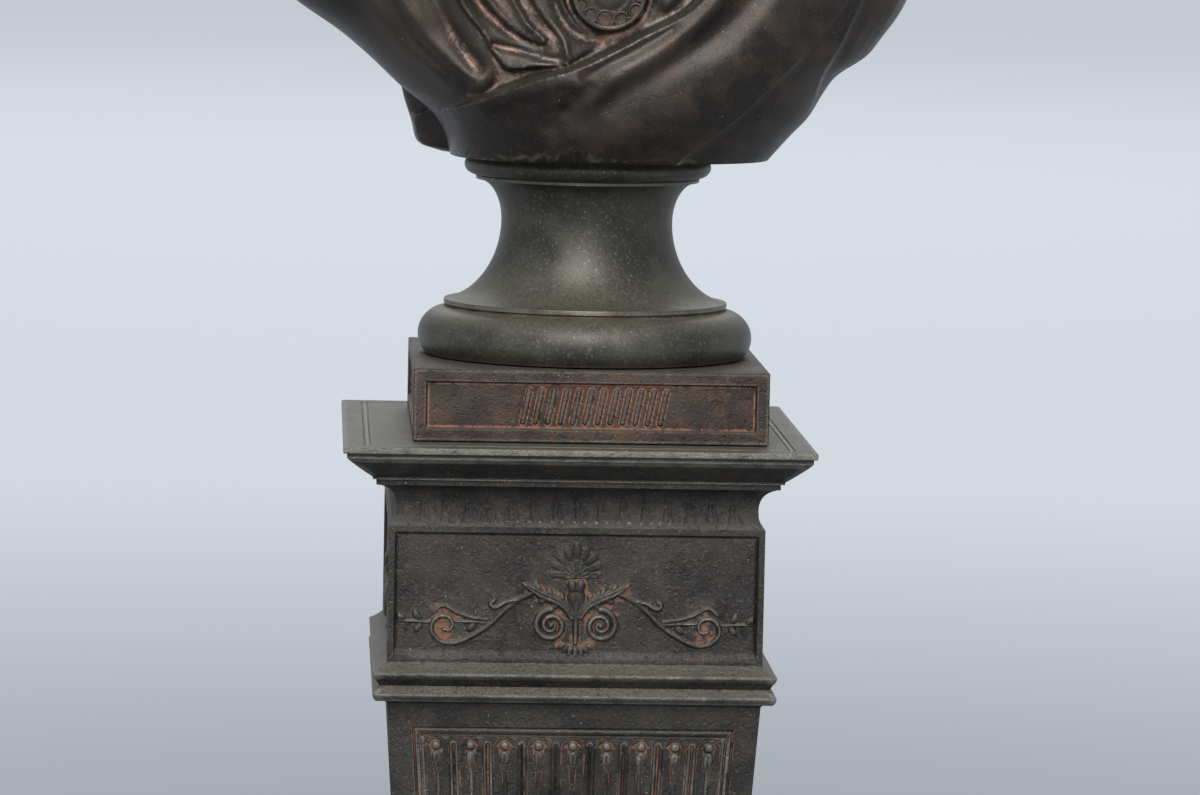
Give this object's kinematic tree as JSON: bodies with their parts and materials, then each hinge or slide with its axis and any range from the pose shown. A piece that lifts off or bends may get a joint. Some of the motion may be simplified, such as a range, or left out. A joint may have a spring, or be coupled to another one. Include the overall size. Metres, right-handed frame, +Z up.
{
  "type": "bronze bust on a pedestal",
  "caption": "Cast bronze bust in a wrapped cloak, on a turned socle, a low panelled block and a tapered fluted square pedestal.",
  "frame": {"origin": "centre of the pedestal's flat underside", "axes": "+Z up through the pedestal to the head, the figure faces -Y, +X to the viewer's right"},
  "size_m": [0.1809, 0.12, 0.4957],
  "materials": {
    "bust_bronze": "dark brown patina, smooth with a soft sheen, copper red in the hollows",
    "socle_bronze": "olive brown patina, turned and smooth, satin",
    "block_bronze": "brown patina over a sand-cast grain",
    "pedestal_bronze": "near black patina over a sand-cast grain, copper red in the carving"
  },
  "bodies": {
    "root": {"bust": "bust_bronze", "socle": "socle_bronze", "name_block": "block_bronze", "pedestal": "pedestal_bronze"}
  },
  "joints": []
}
